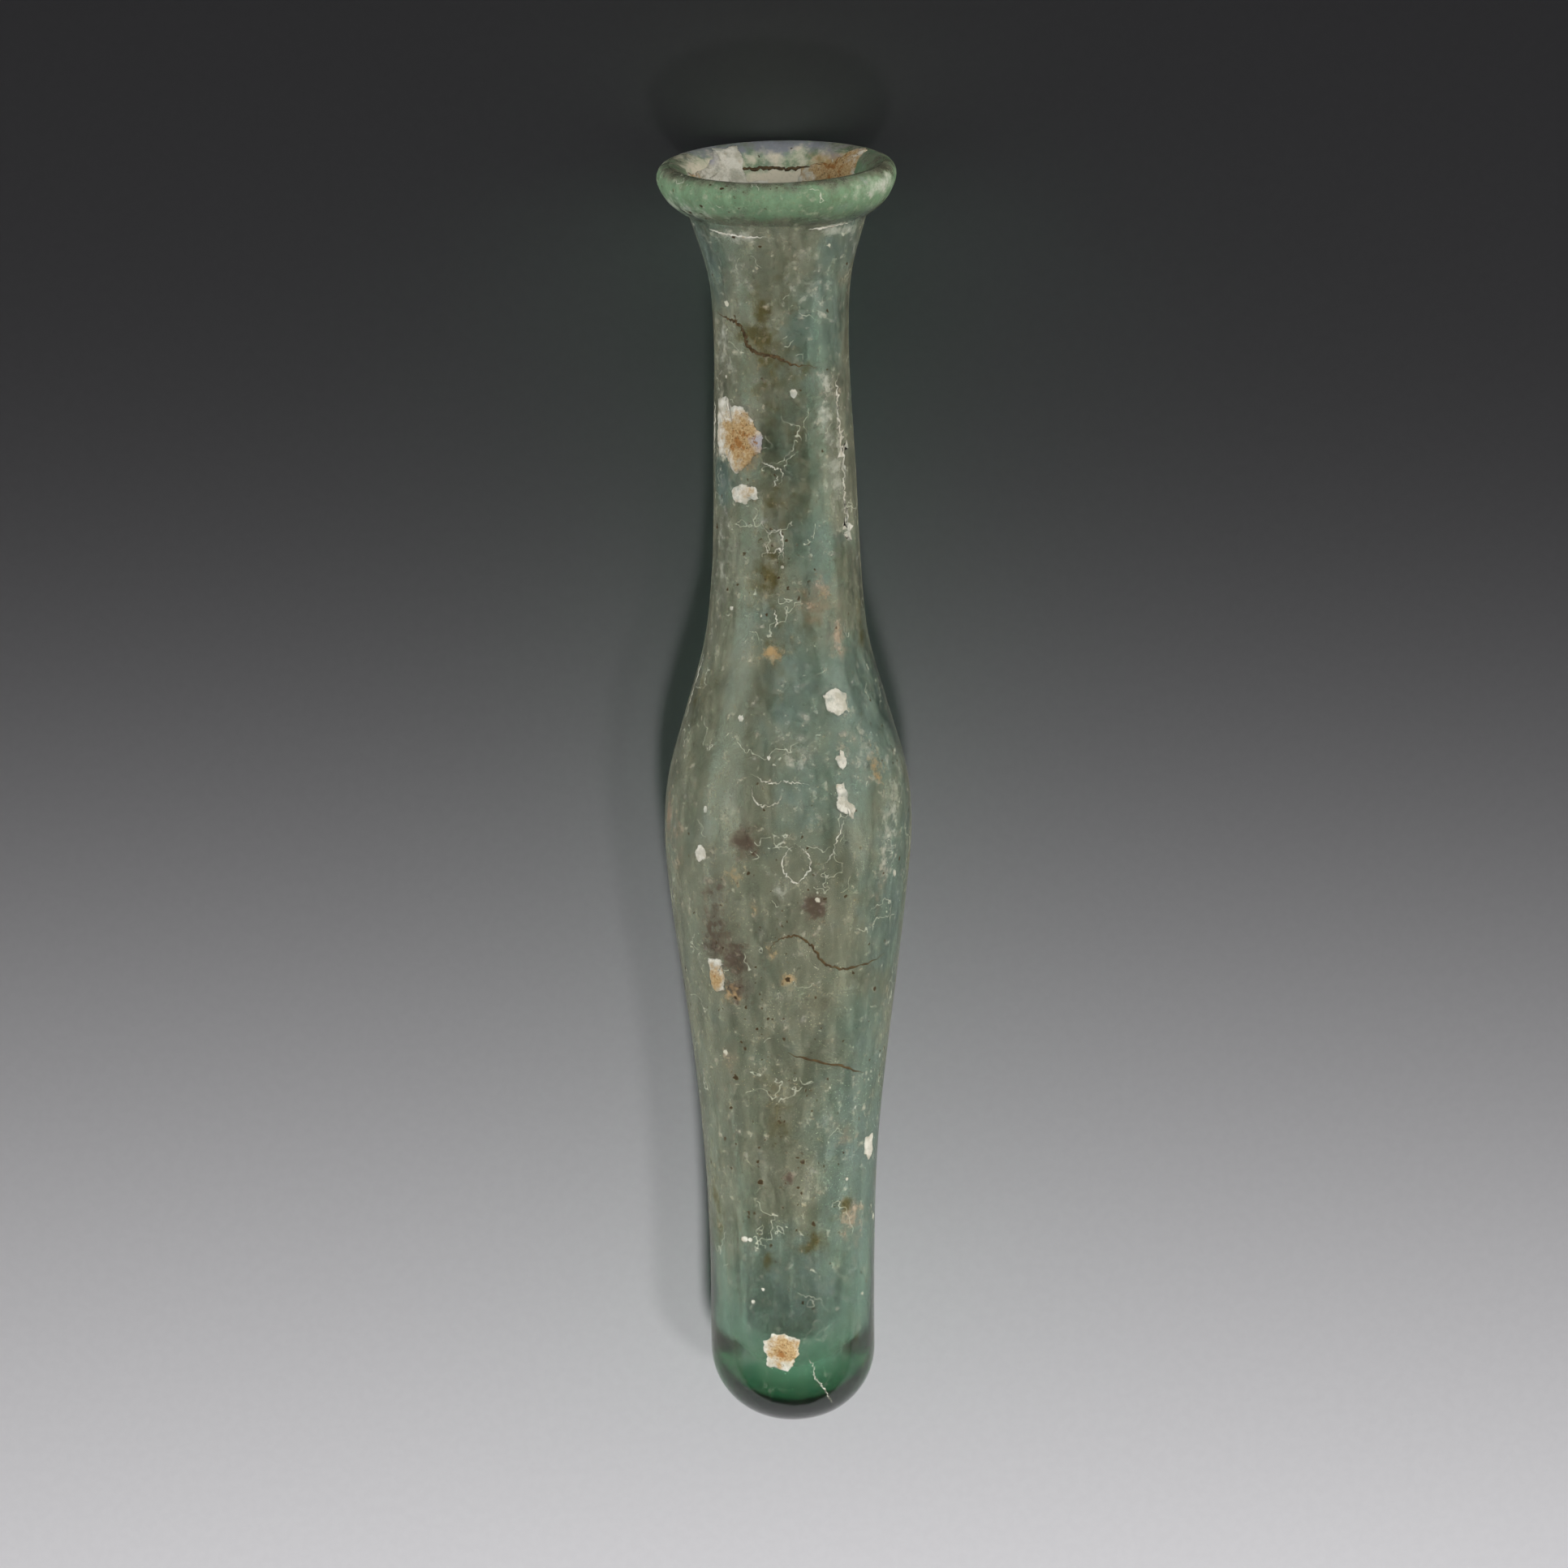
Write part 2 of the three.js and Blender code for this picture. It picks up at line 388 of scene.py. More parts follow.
filmPatches = {  # for each kind: height, turn, half length, half width (mm), strength
    "olive": [(124, -16, 4.2, 1.5, 1.0), (120.5, -14, 2.4, 2.2, 1.1), (118.5, 12, 1.0, 3.5, 0.8),
        (95, -15, 3.0, 2.6, 1.0), (98.5, -12, 3.0, 1.8, 0.7), (112, 3, 7.5, 3.2, 0.7),
        (128, 5, 5, 3, 0.45), (122.3, -24, 1.6, 2.4, 1.2), (88, -8, 3.5, 1.6, 0.7),
        (104, -5, 5, 3.4, 0.7), (92, 10, 6, 3, 0.5), (90, 68, 4, 1.2, 0.8), (82, -70, 6, 1.2, 0.6),
        (25.5, 40, 1.0, 1.0, 1.2), (21.5, 14, 1.8, 2.0, 1.0), (24, 26, 0.8, 0.8, 0.8),
        (19.5, -18, 1.2, 0.8, 0.9), (35, -6, 3.0, 1.4, 0.8), (10.5, 50, 0.8, 0.7, 1.0),
        (24, -62, 5, 1.8, 0.8), (40, -12, 4, 1.2, 0.6), (60, 170, 9, 6, 0.9), (30, 130, 7, 5, 0.8),
        (117, -5, 6, 4, 0.7)],
    "ochre": [(87.5, -10, 1.0, 1.2, 1.1), (74.5, 50, 2.2, 1.2, 0.75), (52, -1, 0.9, 0.9, 1.0),
        (49.8, -33, 1.2, 1.2, 0.8), (108.3, -33, 1.8, 2.4, 0.8), (63.6, -27, 1.2, 1.2, 0.7),
        (59.8, -17, 0.9, 0.5, 0.8), (55, -9, 0.9, 0.9, 0.6), (36, 200, 2.5, 2, 0.9),
        (138.4, 140, 1.3, 4, 1.4)],
    "rose": [(92.5, 25, 2.6, 2.2, 1.0), (116, 45, 1.5, 2, 0.5), (88.5, 40, 2.2, 0.9, 1.0),
        (68.5, -76, 2.4, 1.0, 1.2), (78, 36, 2.5, 2, 0.5), (33.5, 40, 1.6, 1.6, 0.6),
        (66, -64, 5, 2, 0.5), (63, 50, 6, 1.2, 0.5), (42, -38, 3, 1.5, 0.5), (23.8, 47, 2.6, 2.0, 0.8),
        (100, -150, 8, 4, 0.8), (66, 110, 5, 3, 0.7)],
    "mauve": [(67.3, -21, 2.0, 1.7, 1.3), (60.2, 13, 1.5, 1.3, 1.7), (56.5, -40, 3.4, 2.3, 1.15),
        (54, -29, 2.8, 1.8, 1.4), (61, -38, 3.4, 1.8, 0.95), (50.6, -30, 1.8, 1.6, 1.3),
        (29.3, -2, 0.9, 0.9, 1.2), (84, 140, 5, 4, 0.9), (45, -140, 3, 3, 0.8)],
    "cream": [(112, -63, 4, 1.2, 0.8), (136.6, 180, 1.1, 13, 1.3), (138.6, 172, 0.8, 9, 0.8),
        (138.6, -115, 1.3, 5, 1.3)],
    "pale": [(127, 25, 4, 3, 0.5), (115.8, 9, 0.5, 0.4, 1.3), (116.5, 40, 1.5, 1.1, 0.9),
        (112, 40, 4, 2.0, 0.75), (106.5, 45, 4, 1.8, 0.75), (121, -60, 3, 1.8, 0.6),
        (129, -32, 5, 1.6, 0.5), (105, -42, 1.8, 1.4, 0.6), (119, -50, 2.5, 1.5, 0.5),
        (97, -62, 8, 1.6, 0.5), (76, 42, 4, 2.0, 0.5), (66, 52, 4, 1.4, 0.7), (70, 60, 5, 1.2, 0.6),
        (78, 5, 4, 2.5, 0.45), (62, -4, 1.0, 0.8, 0.7), (118, 190, 7, 5, 0.7), (85, -135, 9, 4, 0.7),
        # painted highlights here: the pale patch at (138.4, 62) on the right of the collar's roll, and the
        # thin pale bands at (133.2, -30) and (133.4, 45) in the crease under the collar
        (138.4, 62, 1.0, 4, 0.9), (136.2, -60, 1.2, 5, 0.7), (133.2, -30, 0.7, 5, 0.8),
        (133.4, 45, 0.6, 4, 0.9), (134, 180, 3, 14, 1.0)],
    "bare": [(110, 8, 7, 3.8, 0.9), (100, 5, 7, 4, 0.6), (131, -2, 5, 3, 0.4), (68, 14, 5, 5, 0.4),
        (84, 76, 10, 3, 1.0), (73, 80, 8, 2, 0.7), (84, -10, 4, 2, 0.5), (16, 75, 6, 2, 0.8),
        (16, -75, 6, 2, 0.8), (100, 160, 9, 4, 0.7)],
    "blue": [(80, 50, 9, 7, 0.9), (84, 10, 7, 4.5, 0.7), (29, 55, 20, 6, 0.9), (60, 60, 12, 5, 0.8),
        (105.5, -60, 2.6, 1.8, 1.2), (122, 35, 7, 4, 0.8), (131, -62, 6, 3, 0.9), (16, 5, 7, 8, 0.9),
        (72, 15, 7, 5, 0.6), (98, 25, 5, 3, 0.8), (132, 50, 4, 5, 0.7), (55, -120, 12, 6, 0.8),
        (118, 130, 9, 5, 0.8)],
    "gritty": [(47, -12, 14, 6, 0.5), (31, -3, 9, 4.5, 1.0), (62, -5, 7, 9, 0.35), (22, -8, 6, 6, 0.55),
        (97, -10, 6, 3, 0.6), (137, -35, 3, 7, 0.5), (40, 150, 26, 12, 0.6), (100, -150, 20, 8, 0.5),
        (75, 100, 10, 8, 0.4), (136.5, -60, 2, 6, 0.9)],
    "green": [(137.6, 0, 2.4, 90, 1.5), (137.6, 180, 2.4, 90, 1.5)],
    # teal: a dark green coat round the lower part of the base
    "teal": [(0, 0, 7.5, 60, 1.3), (0, 180, 7.5, 60, 1.3)],
    "violet": [(139.7, 176, 0.9, 8, 1.3), (139.8, -140, 0.8, 5, 1.2)],
}
patchFalloff = 0.9  # a larger number draws each patch in


def coverage(height, turn, kind):
    total = np.zeros_like(height)
    for h, angle, halfLong, halfWide, strength in filmPatches[kind]:
        across = (turn - math.radians(angle) + np.pi) % (2 * np.pi) - np.pi
        far = ((height - h) / halfLong) ** 2 + (across * wallRadius(height) / halfWide) ** 2
        total = np.maximum(total, strength * np.exp(-patchFalloff * far))
    return total


def filmMaterial(name, look):
    s, f, fine = Shade(name), filmColours, look["coarse"]
    cloud = s.mask(scale=95.0 * fine, detail=7.0, low=0.38, high=0.62, stretch=0.5)
    cool = s.mask(amount=s.painted("blue"), scale=150.0, detail=7.0, spread=1.6, low=0.85, high=1.45)
    colour = s.blend(cool, f["warm"], f["cool"])
    soiled = s.mask(scale=170.0 * fine, detail=9.0, low=0.48, high=0.68, stretch=0.6)
    colour = s.blend(s.times(soiled, 0.55), colour, f["earth"])
    streak = s.mask(scale=520.0 * fine, detail=8.0, low=0.4, high=0.68, stretch=0.25)
    thick = s.plus(look["density"] - look["cloud"] / 2, s.times(cloud, look["cloud"]))
    thick = s.plus(thick, s.times(streak, look["streak"]))
    lighter = s.mask(scale=300.0 * fine, detail=8.0, low=0.55, high=0.72, stretch=0.3)
    colour = s.blend(s.times(lighter, 0.3), colour, f["pale"])
    for kind, (solid, scale) in patchKinds.items():
        ragged = s.mask(amount=s.painted(kind), scale=scale * fine, detail=9.0, spread=2.8,
                        low=1.55, high=2.65)
        colour = s.blend(s.times(ragged, 0.95), colour, f[kind])
        thick = s.plus(thick, s.times(ragged, solid * look["solid"]))
    bare = s.mask(amount=s.painted("bare"), scale=420.0, detail=6.0, spread=2.0, low=1.2, high=1.9)
    thick = s.reckon("SUBTRACT", thick, s.times(bare, 0.65 * look["density"]))
    dust = s.mask(scale=3000.0, detail=3.0, low=0.5, high=0.72)
    colour = s.blend(s.times(dust, look["fine"] * 0.6), colour, f["earth"])
    curl = s.effect(curlLines, scale=270.0, width=0.009, patches=0.58)
    colour = s.blend(curl, colour, f["curl"])
    thick = s.plus(thick, s.times(curl, look["curl"]))
    share = s.plus(s.times(s.painted("gritty"), 0.55), 0.035)
    for group, scale, amount, largest in (("grit", 1700.0, share, 0.34),
                                          ("grit", 850.0, s.times(share, 0.55), 0.3),
                                          ("crumb", 900.0, 0.018, 0.4)):
        grains = s.effect(strewnSpecks, scale=scale, amount=amount, largest=largest)
        colour = s.blend(grains, colour, f[group])
        thick = s.plus(thick, s.times(grains, look[group]))
    thick = s.reckon("MINIMUM", s.reckon("MAXIMUM", thick, 0.02), 0.96)
    s.set(Base_Color=colour, Alpha=s.times(thick, s.painted("reach")), Specular_IOR_Level=0.3,
          Roughness=s.blend(streak, 0.5, 0.8, "FLOAT"))
    s.relief(streak, 0.3, 0.04 * mm)
    return s.material


enamel = {  # linear colours of the flaking crust, and of the painted highlight lines drawn with it
    "cream": (0.60, 0.58, 0.50), "chalk": (0.42, 0.40, 0.32), "grey": (0.30, 0.32, 0.27),
    "darkSand": (0.30, 0.19, 0.08), "sand": (0.46, 0.34, 0.18), "lilac": (0.33, 0.33, 0.36),
    "rust": (0.26, 0.12, 0.035), "pit": (0.14, 0.08, 0.03),
}


def enamelCrustAndHighlights():
    s, f = Shade("enamelCrustAndHighlights"), enamel
    grain = s.mask(scale=3800.0, detail=4.0, low=0.35, high=0.7)
    cloud = s.mask(scale=700.0, detail=7.0, low=0.42, high=0.6)
    colour = s.blend(cloud, f["cream"], f["chalk"])
    grey = s.mask(scale=620.0, detail=7.0, low=0.5, high=0.66)
    colour = s.blend(s.times(grey, 0.7), colour, f["grey"])
    sandy = s.mask(amount=s.painted("sandy"), scale=900.0, detail=8.0, spread=2.4, low=1.35, high=2.0)
    colour = s.blend(sandy, colour, s.blend(grain, f["darkSand"], f["sand"]))
    lilac = s.mask(amount=s.painted("lilac"), scale=700.0, detail=5.0, spread=1.6, low=1.1, high=1.7)
    colour = s.blend(s.times(lilac, 0.85), colour, f["lilac"])
    rust = s.mask(amount=s.painted("sandy"), scale=1400.0, detail=6.0, spread=2.6, low=2.25, high=2.6)
    colour = s.blend(rust, colour, f["rust"])
    pit = s.mask(amount=s.times(s.painted("sandy"), 0.1), scale=5200.0, detail=2.0, low=0.69, high=0.74)
    colour = s.blend(pit, colour, f["pit"])
    s.set(Base_Color=colour, Roughness=s.blend(grain, 0.55, 0.9, "FLOAT"), Specular_IOR_Level=0.35)
    s.relief(s.blend(0.4, grain, cloud, "FLOAT"), 0.6, 0.1 * mm)
    return s.material


def soilGrain():
    s = Shade("soilGrain")
    grain = s.mask(scale=3000.0, detail=4.0, low=0.35, high=0.7)
    s.set(Base_Color=s.blend(grain, (0.045, 0.03, 0.015), (0.12, 0.08, 0.035)),
          Roughness=s.blend(grain, 0.7, 0.95, "FLOAT"))
    s.relief(grain, 0.4, 0.04 * mm)
    return s.material


glassLook, crustAndHighlightLook, soilLook = agedGlass(), enamelCrustAndHighlights(), soilGrain()
filmLook, skinLook = filmMaterial("innerWeatheringAndHighlights", innerLook), filmMaterial("outerWeatheringAndHighlights", outerLook)
print("materials made")


def blownFlask():
    n = flask["segments"]
    turn = np.arange(n) * 2 * np.pi / n
    outline = np.vstack([outside, inside[1:]])
    rings = outline[1:-1]
    height = rings[:, 1:] + 0 * turn
    r = rings[:, :1] + unevenness(height, turn[None])
    body = settle(lieDown(r * np.sin(turn), height, r * np.cos(turn)))
    ends = settle(lieDown(np.zeros(2), outline[[0, -1], 1], np.zeros(2)))
    points = np.vstack([ends, body.reshape(-1, 3)])
    faces = ([*ringFaces(len(rings), n, 2)] + poleFaces(0, 2, n, True)
             + poleFaces(1, 2 + (len(rings) - 1) * n, n, False))
    return makeMesh("flask_glass", points, faces, glassLook)


def filmPiece(name, outline, look, outward, reach):  # a skin that follows the glass
    rows, segments = look["rows"], look["segments"]
    run = np.r_[0, np.cumsum(np.linalg.norm(np.diff(outline, axis=0), axis=1))]
    at = np.linspace(0, run[-1], rows)
    r, h = (np.interp(at, run, outline[:, k]) for k in (0, 1))
    runR, runH = np.gradient(r), np.gradient(h)
    size = np.maximum(np.hypot(runR, runH), 1e-9)
    r, h = r + look["gap"] * outward * runH / size, h - look["gap"] * outward * runR / size
    r[0] = 0
    turn = np.arange(segments) * 2 * np.pi / segments
    height, t = np.meshgrid(h[1:], turn, indexing="ij")
    radius = r[1:, None] + unevenness(height, t)
    tube = settle(lieDown(radius * np.sin(t), height, radius * np.cos(t)))
    tip = settle(lieDown(np.zeros(1), h[:1], np.zeros(1)))
    points = np.vstack([tube.reshape(-1, 3), tip])
    faces = [*ringFaces(rows - 1, segments)] + poleFaces((rows - 1) * segments, 0, segments, True)
    if outward < 0:
        faces = [tuple(face)[::-1] for face in faces]
    piece = makeMesh(name, points, faces, filmLook if outward < 0 else skinLook)
    allHeights, allTurns = np.r_[height.ravel(), h[0]], np.r_[t.ravel(), 0]
    for kind in paintedKinds:
        paint(piece, kind, coverage(allHeights, allTurns, kind))
    paint(piece, "reach", reach(allHeights))
    print(name, len(faces), "faces")
    return piece


def innerReach(h):
    return 0.85 * smoothStep(h, 3.5, 30) + 0.15 * smoothStep(h, 60, 100)


def outerReach(h):
    return 0.15 * smoothStep(h, 1, 6) + 0.85 * smoothStep(h, 4.0, 26)


def tipFade(count, share=0.25):  # narrows both ends of a line
    t = np.linspace(0, 1, count)
    return np.clip(np.minimum(t, 1 - t) / share, 0.15, 1)


mouthPath = np.vstack([outside[crest:-1], inside[:40]])  # from the crest, over the lip, down the funnel
mouthRun = np.r_[0, np.cumsum(np.linalg.norm(np.diff(mouthPath, axis=0), axis=1))]


def mouthPoints(depth, turn, lift=0.0):  # depth is measured along the glass from the crest
    depth = np.asarray(depth, float)
    r, h = (np.interp(depth, mouthRun, mouthPath[:, k]) for k in (0, 1))
    stepR, stepH = (np.interp(depth + 0.1, mouthRun, mouthPath[:, k])
                    - np.interp(depth - 0.1, mouthRun, mouthPath[:, k]) for k in (0, 1))
    size = np.hypot(stepR, stepH)
    r, h = r + lift * stepH / size, h - lift * stepR / size
    return settle(lieDown(r * np.sin(turn), h, r * np.cos(turn)))


roundTurn, mouthRadius = 6.28, 9.7  # radians, and mm around the mouth crust


def brokenEdge(corners, rng, step=0.16, rough=0.14):  # a chipped outline through a few corners
    edge = []
    for a, b in zip(corners, corners[1:] + corners[:1]):
        a, b = np.array(a, float), np.array(b, float)
        span = np.linalg.norm(b - a)
        count = max(2, int(span / step))
        across = np.array([-(b - a)[1], (b - a)[0]]) / max(span, 1e-6)
        wave, phase = rng.uniform(0.5, 1.3) * rough, rng.uniform(0, roundTurn)
        for i in range(count):
            t = i / count
            swell = wave * math.sin(phase + t * span * 3.1) * math.sin(math.pi * t)
            chip = rough * (0.6 if i else 0.25)
            nick = [rng.uniform(-chip, chip), rng.uniform(-chip, chip)]
            edge.append(a + (b - a) * t + across * swell + nick)
    return np.array(edge)


def plateShell(spot, rng):  # one flake: points, faces and its two tints
    edge = brokenEdge(spot["corners"], rng, spot.get("step", 0.16), spot.get("rough", 0.14))
    n, thick, sunk = len(edge), spot.get("thick", 0.12), -0.03
    shares, lifts = (1, 1, 0.9, 0.65, 0.35), (0.55, 1.0, 1.05, 1.1)
    local = np.vstack([edge * share for share in shares] + [np.zeros((2, 2))])
    slopes = [np.full(n, thick * share) for share in lifts]
    lift = np.concatenate([np.full(n, sunk), *slopes, [thick * 1.1, sunk]])
    lift[n:] += np.array([rng.uniform(-0.12, 0.12) for i in range(len(lift) - n)]) * thick
    lift[-1] = sunk
    angle = math.radians(spot["turn"])
    if "depth" in spot:
        points = mouthPoints(spot["depth"] - local[:, 1], angle + local[:, 0] / mouthRadius, lift)
    else:
        r = float(wallRadius(spot["height"]))
        points = wallPoints(spot["height"] + local[:, 1], angle + local[:, 0] / r, lift)
    rings = len(shares)
    faces = [tuple(face) for face in ringFaces(rings, n)]
    faces += poleFaces(rings * n, (rings - 1) * n, n, False) + poleFaces(rings * n + 1, 0, n, True)
    tints = {}
    for tint in ("sandy", "lilac"):
        across, along, reach, strength = spot.get(tint, (0, 0, 1, 0))
        far = ((local[:, 0] - across) ** 2 + (local[:, 1] - along) ** 2) / reach**2
        tints[tint] = strength * np.exp(-far)
    return points, faces, tints


def joined(name, shells, material):  # one piece from many small closed shells
    points, faces = [], []
    for p, f in shells:
        first = sum(len(q) for q in points)
        faces += [tuple(first + i for i in face) for face in f]
        points.append(p)
    piece = makeMesh(name, np.vstack(points), faces, material)
    work = bmesh.new()
    work.from_mesh(piece.data)
    bmesh.ops.recalc_face_normals(work, faces=work.faces)
    work.to_mesh(piece.data)
    work.free()
    return piece


def crustPiece(name, spots, seed):
    rng = random.Random(seed)
    plates = [plateShell(spot, rng) for spot in spots]
    piece = joined(name, [plate[:2] for plate in plates], crustAndHighlightLook)
    for tint in ("sandy", "lilac"):
        paint(piece, tint, np.concatenate([plate[2][tint] for plate in plates]))
    return piece


def dot(height, turn, size, tall=1.0):
    corners = [(size * math.cos(a), size * tall * math.sin(a)) for a in np.arange(6) * math.pi / 3]
    return {"height": height, "turn": turn, "corners": corners, "rough": size * 0.25, "step": size * 0.6,
            "thick": 0.06}


flakes = [  # corners are (across, along) in mm from the named place
    {"height": 111, "turn": -44, "thick": 0.16, "sandy": (1.0, -0.4, 3.2, 1.15),
     "lilac": (3.2, -0.6, 1.2, 1.0),
     "corners": [(-3.5, -0.6), (-3.0, -2.6), (-1.9, -2.3), (-1.0, -3.0), (0.1, -4.2), (1.0, -3.8),
                 (2.2, -2.5), (3.4, -1.3), (3.5, 0.2), (2.5, 1.2), (1.8, 2.6), (0.6, 3.2), (-0.6, 3.0),
                 (-1.7, 4.1), (-3.4, 3.5)]},
    {"height": 104.5, "turn": -35, "thick": 0.08, "sandy": (0, 0, 2, 0.35),
     "corners": [(-1.8, 0.2), (-1.2, -0.9), (0.2, -1.0), (0.9, -0.4), (1.8, -0.2), (1.5, 0.9),
                 (0.2, 1.2), (-0.9, 1.0)]},
    {"height": 82, "turn": 30,
     "corners": [(-1.4, 0.9), (-1.1, -0.7), (0.1, -1.5), (1.3, -0.8), (1.6, 0.8), (0.3, 1.5)]},
    {"height": 76, "turn": 28, "thick": 0.1,
     "corners": [(-0.7, 0.1), (0.1, -1.1), (0.7, 0.0), (0.1, 1.0)]},
    {"height": 71.5, "turn": 28, "thick": 0.1,
     "corners": [(-0.9, 1.9), (-1.0, -0.6), (-0.1, -1.3), (0.9, -2.0), (1.2, -0.9), (0.3, 0.2),
                 (0.0, 2.1)]},
    {"height": 65.5, "turn": -46, "thick": 0.08,
     "corners": [(-0.8, 0.1), (-0.2, -0.9), (0.9, -0.5), (0.7, 0.7), (-0.1, 1.0)]},
    {"height": 52, "turn": -41, "thick": 0.12, "sandy": (0, -0.3, 1.6, 0.8),
     "corners": [(-1.1, 1.7), (-1.0, -1.1), (-0.5, -1.9), (0.8, -1.7), (1.0, 0.2), (0.7, 1.8)]},
    {"height": 31.5, "turn": 62, "thick": 0.1,
     "corners": [(-0.8, 1.2), (-0.9, -0.6), (0.2, -1.5), (1.1, -0.7), (0.9, 1.4)]},
    {"height": 9.5, "turn": -8, "thick": 0.14, "sandy": (0.1, 0.2, 1.7, 1.15),
     "corners": [(-2.1, 1.2), (-1.7, -1.6), (-0.4, -1.9), (0.6, -2.2), (1.9, -0.2), (1.9, 1.5),
                 (0.4, 2.0), (-0.9, 2.1)]},
    dot(115.8, 9, 0.4, 1.3), dot(80.5, -28, 0.35, 1.2), dot(15, -29, 0.25), dot(16.5, -21, 0.22),
    dot(70.5, -43, 0.3, 1.4), dot(76.5, -10, 0.22), dot(92, -46, 0.25), dot(22, -30, 0.25),
    dot(28.5, 40, 0.2),
]
mouthCrust = [  # depth runs from the crest into the mouth
    {"depth": 3.4, "turn": -140, "thick": 0.22, "lilac": (1.0, 1.5, 1.5, 0.6),
     "corners": [(-2.9, -2.6), (2.9, -2.6), (2.8, 0.5), (1.5, 1.0), (0.5, 1.5), (-0.2, 2.9),
                 (-1.2, 2.5), (-2.9, 2.7)]},
    {"depth": 3.9, "turn": -104, "thick": 0.2, "sandy": (0.5, 0.2, 2.2, 0.7),
     "corners": [(-4.4, -1.4), (0.2, -2.0), (3.6, -2.0), (3.5, 1.2), (1.4, 1.5), (-1.0, 0.9),
                 (-3.0, 1.1), (-4.6, 0.4)]},
    {"depth": 3.4, "turn": 137, "thick": 0.22, "sandy": (0, 0, 4.5, 1.0),
     "corners": [(-4.6, -2.3), (0.0, -2.4), (4.6, -2.0), (4.4, -0.4), (2.2, 0.3), (0.3, 0.5),
                 (-1.2, 1.6), (-2.0, 2.9), (-3.2, 3.1), (-3.6, 1.2)]},
    {"depth": 5.4, "turn": -150, "thick": 0.15, "sandy": (2, 0, 2, 0.3),
     "corners": [(-4.5, -0.5), (0, -0.7), (4.5, -0.6), (4.2, 0.4), (0.5, 0.5), (-4.0, 0.5)]},
]


def lineShell(path, width, thick, lift, bore=False, ragged=0.35, seed=0):  # a thin line lying on the glass
    rng = random.Random(seed)
    path = smoothCurve([(h, math.radians(t)) for h, t in path], 12)
    h, t = path[:, 0], path[:, 1]
    r = wallRadius(h, bore)
    stray = np.array([rng.uniform(-1, 1) for i in range(2 * len(h))]).reshape(2, -1) * ragged
    drift = np.cumsum(stray, axis=1) * np.sin(np.linspace(0, np.pi, len(h))) * 0.1
    h, t = h + stray[0] * width + drift[0], t + (stray[1] * width + drift[1]) / r
    runH, runT = np.gradient(h), np.gradient(t) * r
    size = np.maximum(np.hypot(runH, runT), 1e-6)
    half = width / 2 * tipFade(len(h)) * np.array([rng.uniform(1 - ragged, 1 + ragged) for i in h])
    rows = []
    for side, up in ((-1, 0), (-0.5, 1), (0.5, 1), (1, 0)):
        sideH, sideT = -runT / size * half * side, runH / size * half * side / r
        rows.append(wallPoints(h + sideH, t + sideT, lift + up * thick, bore))
    n = len(h)
    points = np.stack(rows, 1).reshape(-1, 3)
    faces = [tuple(face) for face in ringFaces(n, 4)]
    faces += [(0, 1, 2, 3), tuple((n - 1) * 4 + k for k in (3, 2, 1, 0))]
    return points, faces


def linePiece(name, lines, material):
    shells = [lineShell(path, **look, seed=i) for i, (path, look) in enumerate(lines)]
    return joined(name, shells, material)


crackLook = {"width": 0.24, "thick": 0.02, "lift": 0.03, "ragged": 0.4}
cracksAndDarkLine = [  # each path is (height, turn) along the glass
    ([(124.1, -70), (123.6, -52), (123.2, -42), (121.8, -34), (120.1, -26), (119.6, -8), (118.8, 10),
      (118.4, 30)], {**crackLook, "width": 0.36}),
    ([(55.5, -10), (56.7, -4), (57.0, 3), (56.0, 10), (53.4, 21), (52.8, 32), (53.0, 46), (53.5, 60)],
     crackLook),
    ([(43.5, -2), (42.0, 22), (40.3, 50)], crackLook),
    # a dark line across the back of the mouth, just under the lip
    ([(137.9, 130), (137.7, 150), (137.5, 172), (137.5, 192), (137.7, 212), (137.9, 230)],
     {"width": 0.3, "thick": 0.04, "lift": 0.1, "bore": True}),
]
peelAndHighlightLook = {"width": 0.13, "thick": 0.03, "lift": 0.03, "ragged": 0.8}
creaseHighlightLook = {**peelAndHighlightLook, "width": 0.3, "ragged": 0.25}
